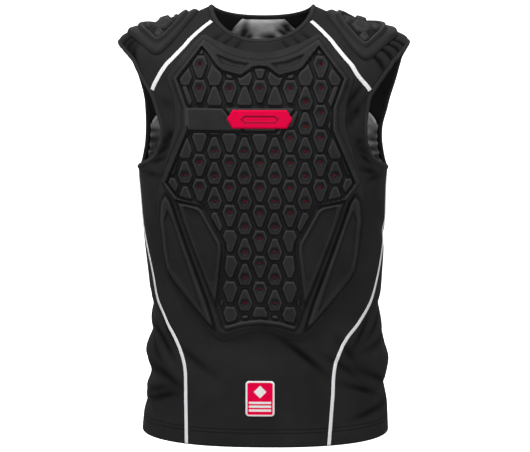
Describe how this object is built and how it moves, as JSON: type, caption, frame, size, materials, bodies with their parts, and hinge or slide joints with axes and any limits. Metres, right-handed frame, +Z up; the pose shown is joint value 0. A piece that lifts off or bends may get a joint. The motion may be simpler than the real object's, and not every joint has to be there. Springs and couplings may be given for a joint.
{
  "type": "protective vest",
  "caption": "Sleeveless stretch sport vest with a moulded foam chest plate of pierced pads, rib plates and shoulder pads.",
  "frame": {"origin": "midway between the two points where the shoulders meet the neck, where the worn vest hangs", "axes": "+Z up along the worn vest's length, -Y out of the chest plate, +X to the wearer's left"},
  "size_m": [0.4301, 0.2435, 0.6371],
  "materials": {
    "knit": "black stretch knit",
    "foam": "matt moulded foam",
    "tape": "pale flat seam tape",
    "mesh": "grey mesh lining",
    "red_cloth": "red woven cloth",
    "red_rubber": "red moulded rubber"
  },
  "bodies": {
    "root": {"front_panel": "knit", "back_panel": "knit", "back_lining": "mesh", "hem_turn": "knit", "neck_binding": "knit", "chest_plate": "foam", "plate_backing": "red_cloth", "chest_badge": "red_rubber", "hem_label": "red_cloth", "side_panel_left": "knit", "shoulder_panel_left": "knit", "armhole_binding_left": "knit", "shoulder_pad_left": "foam", "rib_plate_inner_left": "foam", "rib_plate_outer_left": "foam", "side_panel_right": "knit", "shoulder_panel_right": "knit", "armhole_binding_right": "knit", "shoulder_pad_right": "foam", "rib_plate_inner_right": "foam", "rib_plate_outer_right": "foam", "raglan_tape_front_left": "tape", "raglan_tape_front_right": "tape", "raglan_tape_back_left": "tape", "raglan_tape_back_right": "tape", "side_tape_front_left": "tape", "side_tape_front_right": "tape", "side_tape_back_left": "tape", "side_tape_back_right": "tape", "raglan_tape_inner_left": "tape", "raglan_tape_inner_right": "tape"}
  },
  "joints": []
}
